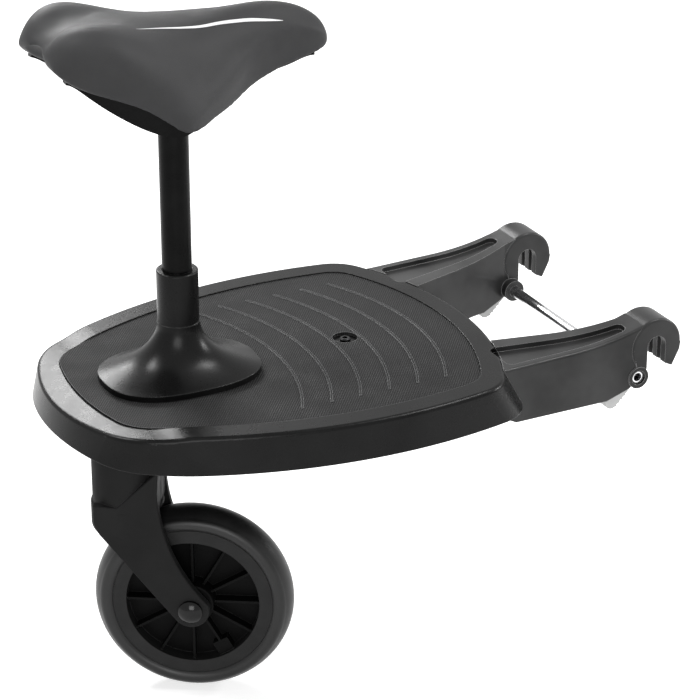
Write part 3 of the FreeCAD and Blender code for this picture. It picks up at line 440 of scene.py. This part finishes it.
def make_materials():
    """The materials of the slots, of single pieces and of the stripe, by name."""
    made = {
        "wheel_plastic": wheel_plastic("wheel_plastic"),
        "mat_rubber": woven_mat("mat_rubber"),
        "tyre_rubber": tyre_rubber("tyre_rubber"),
        "saddle_vinyl": saddle_vinyl("saddle_vinyl"),
        "post_paint": painted_tube("post_paint"),
        "bright_steel": bright_steel("bright_steel"),
        "stripe_print": printed_stripe("stripe_print"),
    }
    for name, values in plastics.items():
        made[name] = moulded_plastic(name, *values)
    for name, shine in polished.items():
        made[name] = gloss_plastic(name, shine)
    for name, colours in plated.items():
        made[name] = plated_steel(name, *colours)
    return made


materials = make_materials()


# Saddle cover: the solid's form, remeshed, filled by cloth pressure and smoothed

def add_object(name, data):
    thing = bpy.data.objects.new(name, data)
    bpy.context.scene.collection.objects.link(thing)
    return thing


def take_modifiers(piece):
    """Replaces the piece's mesh by its evaluated one and removes its modifiers."""
    shown = piece.evaluated_get(bpy.context.evaluated_depsgraph_get())
    mesh = bpy.data.meshes.new_from_object(shown)
    piece.modifiers.clear()
    piece.data = mesh


def remesh(piece, voxel):
    modifier = piece.modifiers.new("remesh", "REMESH")
    modifier.mode = "VOXEL"
    modifier.voxel_size = voxel
    take_modifiers(piece)


def swelling():
    """Where points of a coarse copy start and how a short cloth run with inner pressure moves them.
    The underside is held, and no point moves further than the cap."""
    piece = add_object("saddle_cover_coarse", nodes["saddle_cover"].data.copy())
    remesh(piece, cloth_voxel)
    start = [vertex.co.copy() for vertex in piece.data.vertices]
    underside = [vertex.index for vertex in piece.data.vertices if vertex.normal.z < held_slope]
    piece.vertex_groups.new(name="held").add(underside, 1.0, "REPLACE")
    cloth = piece.modifiers.new("cloth", "CLOTH")
    cloth.settings.use_pressure = True
    cloth.settings.uniform_pressure_force = cloth_pressure
    cloth.settings.effector_weights.gravity = 0
    cloth.settings.vertex_group_mass = "held"
    cloth.point_cache.frame_start = 1
    cloth.point_cache.frame_end = cloth_frames
    scene = bpy.context.scene
    for number in range(1, cloth_frames + 1):
        scene.frame_set(number)
    take_modifiers(piece)
    scene.frame_set(1)
    moves = [vertex.co - before for vertex, before in zip(piece.data.vertices, start)]
    moves = [move * (cloth_cap / move.length) if move.length > cloth_cap else move for move in moves]
    bpy.data.objects.remove(piece)
    return start, moves


def fill_out(piece):
    """Moves each point of the fine copy by the mean swelling of its neighbours on the coarse one."""
    start, moves = swelling()
    tree = KDTree(len(start))
    for index, place in enumerate(start):
        tree.insert(place, index)
    tree.balance()
    for vertex in piece.data.vertices:
        near = tree.find_n(vertex.co, swell_neighbours)
        vertex.co = vertex.co + sum((moves[index] for _, index, _ in near), Vector()) / swell_neighbours


def push_out(piece, under, above):
    """Moves points along their normals, by one distance on the underside and another above it."""
    moves = []
    for vertex in piece.data.vertices:
        share = min(max(1 - vertex.normal.z / under_slope, 0), 1)
        moves.append(vertex.normal * (under + (above - under) * share))
    for vertex, move in zip(piece.data.vertices, moves):
        vertex.co = vertex.co + move


def build_saddle_cover():
    """The sharp lower edge is first made thick, so that smoothing rounds it, and then thinned again."""
    cover = add_object("saddle_cover_soft", nodes["saddle_cover"].data.copy())
    remesh(cover, fine_voxel)
    push_out(cover, edge_round, edge_round)
    remesh(cover, fine_voxel)
    fill_out(cover)
    soften = cover.modifiers.new("soften", "SMOOTH")
    soften.factor = smooth_factor
    soften.iterations = smooth_rounds
    take_modifiers(cover)
    push_out(cover, -edge_round, saddle_fuller - edge_round)
    cover.modifiers.new("rounder", "SUBSURF").render_levels = 1
    cover.data.shade_smooth()
    cover.data.materials.clear()
    cover.data.materials.append(materials["saddle_vinyl"])
    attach(cover, "seat")
    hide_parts("saddle_cover")
    return cover


# Stripe: a thin print that lies on the saddle

def camera_ray(pixel):
    """The direction from the camera through a pixel of the square picture."""
    forward = (camera_target - camera_place).normalized()
    right = forward.cross(Vector((0, 0, 1))).normalized()
    up = right.cross(forward)
    reach = camera_lens / camera_sensor * image_size
    across = pixel[0] - image_size / 2
    down = pixel[1] - image_size / 2
    return (forward * reach + right * across - up * down).normalized()


def smooth_path(points, steps):
    """Points along a Catmull-Rom curve through the given points."""
    extended = [points[0] * 2 - points[1]] + points + [points[-1] * 2 - points[-2]]
    found = []
    for step in range(steps + 1):
        along = step / steps * (len(points) - 1)
        index = min(int(along), len(points) - 2)
        share = along - index
        before, start, end, after = extended[index:index + 4]
        slope = end - before
        bend = before * 2 - start * 5 + end * 4 - after
        turn = start * 3 - before - end * 3 + after
        found.append(0.5 * (start * 2 + slope * share + bend * share ** 2 + turn * share ** 3))
    return found


def build_stripe(cover, side, name):
    """A narrow strip on the cover's right side, for side -1, or mirrored on its left side, for 1."""
    tree = BVHTree.FromObject(cover, bpy.context.evaluated_depsgraph_get())
    places = [tree.ray_cast(camera_place, camera_ray(pixel))[0] for pixel in stripe_pixels]
    middle = smooth_path([Vector((p.x, side * abs(p.y), p.z)) for p in places], stripe_steps)
    points = []
    for step, at in enumerate(middle):
        ahead = middle[min(step + 1, stripe_steps)] - middle[max(step - 1, 0)]
        foot, normal = tree.find_nearest(at)[:2]
        across = normal.cross(ahead).normalized()
        swell = math.sin(math.pi * (step / stripe_steps) ** stripe_lean) ** stripe_bluntness
        half = stripe_half_width * swell + stripe_tip
        for lane in stripe_lanes:
            place, up = tree.find_nearest(foot + across * (lane * half))[:2]
            points.append(place + up * stripe_lift)
    faces = []
    row = len(stripe_lanes)
    for step in range(stripe_steps):
        for lane in range(row - 1):
            corner = row * step + lane
            faces.append((corner, corner + 1, corner + row + 1, corner + row))
    mesh = bpy.data.meshes.new(name)
    mesh.from_pydata(points, [], faces)
    stripe = add_object(name, mesh)
    stripe.data.shade_smooth()
    stripe.data.materials.append(materials["stripe_print"])
    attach(stripe, "seat")


# Stage, light and camera

def seen_directly(tree):
    """1 for what the camera sees, also by reflection or through glass, and 0 for light on other things."""
    path = add(tree, "ShaderNodeLightPath")
    reflected = calculate(tree, "MAXIMUM", path.outputs["Is Camera Ray"], path.outputs["Is Glossy Ray"])
    return calculate(tree, "MAXIMUM", reflected, path.outputs["Is Transmission Ray"])


def floor_material():
    """Matt near white that glows where it is seen, so that the ground fades into the background."""
    material, tree = new_material("floor")
    shader = tree.nodes["Principled BSDF"]
    shader.inputs["Base Color"].default_value = (*grey(floor_colour), 1)
    shader.inputs["Roughness"].default_value = 0.9
    shader.inputs["Specular IOR Level"].default_value = 0.0
    glow = add(tree, "ShaderNodeEmission")
    tree.links.new(part_of(tree, seen_directly(tree), floor_glow), glow.inputs["Strength"])
    both = add(tree, "ShaderNodeAddShader")
    tree.links.new(shader.outputs["BSDF"], both.inputs[0])
    tree.links.new(glow.outputs["Emission"], both.inputs[1])
    tree.links.new(both.outputs["Shader"], tree.nodes["Material Output"].inputs["Surface"])
    return material


def build_floor():
    low = cad_box[0].z - floor_gap
    corners = ((-1, -1), (1, -1), (1, 1), (-1, 1))
    mesh = bpy.data.meshes.new("floor")
    mesh.from_pydata([(x * floor_reach, y * floor_reach, low) for x, y in corners], [], [(0, 1, 2, 3)])
    floor = add_object("floor", mesh)
    floor.data.materials.append(floor_material())


def build_world():
    """White where it is seen, with less light than that for other things."""
    world = bpy.data.worlds.new("studio")
    world.use_nodes = True
    tree = world.node_tree
    background = tree.nodes["Background"]
    background.inputs["Color"].default_value = (1, 1, 1, 1)
    extra = part_of(tree, seen_directly(tree), 1 - sky_light)
    tree.links.new(calculate(tree, "ADD", extra, sky_light), background.inputs["Strength"])
    bpy.context.scene.world = world


def aimed_object(name, data, place):
    """A lamp or camera at a place, turned to the camera's target."""
    thing = add_object(name, data)
    thing.location = place
    thing.rotation_euler = (camera_target - Vector(place)).to_track_quat("-Z", "Y").to_euler()
    return thing


def build_lamp(name, place, size, power):
    light = bpy.data.lights.new(name, "AREA")
    light.shape = "RECTANGLE"
    light.size, light.size_y = size
    light.energy = power
    aimed_object(name, light, place)


def build_camera():
    data = bpy.data.cameras.new("camera")
    data.lens = camera_lens
    data.sensor_width = camera_sensor
    bpy.context.scene.camera = aimed_object("camera", data, camera_place)


# The whole scene

for name, piece in nodes.items():
    piece.data.materials.clear()
    piece.data.materials.append(materials[own_finish.get(name, slot_of[name])])

cover = build_saddle_cover()
build_stripe(cover, -1, "near_stripe")
build_stripe(cover, 1, "far_stripe")

build_floor()
build_world()
for name, (place, size, power) in soft_boxes.items():
    build_lamp(name, place, size, power)
build_camera()
bpy.context.scene.view_settings.view_transform = "Standard"
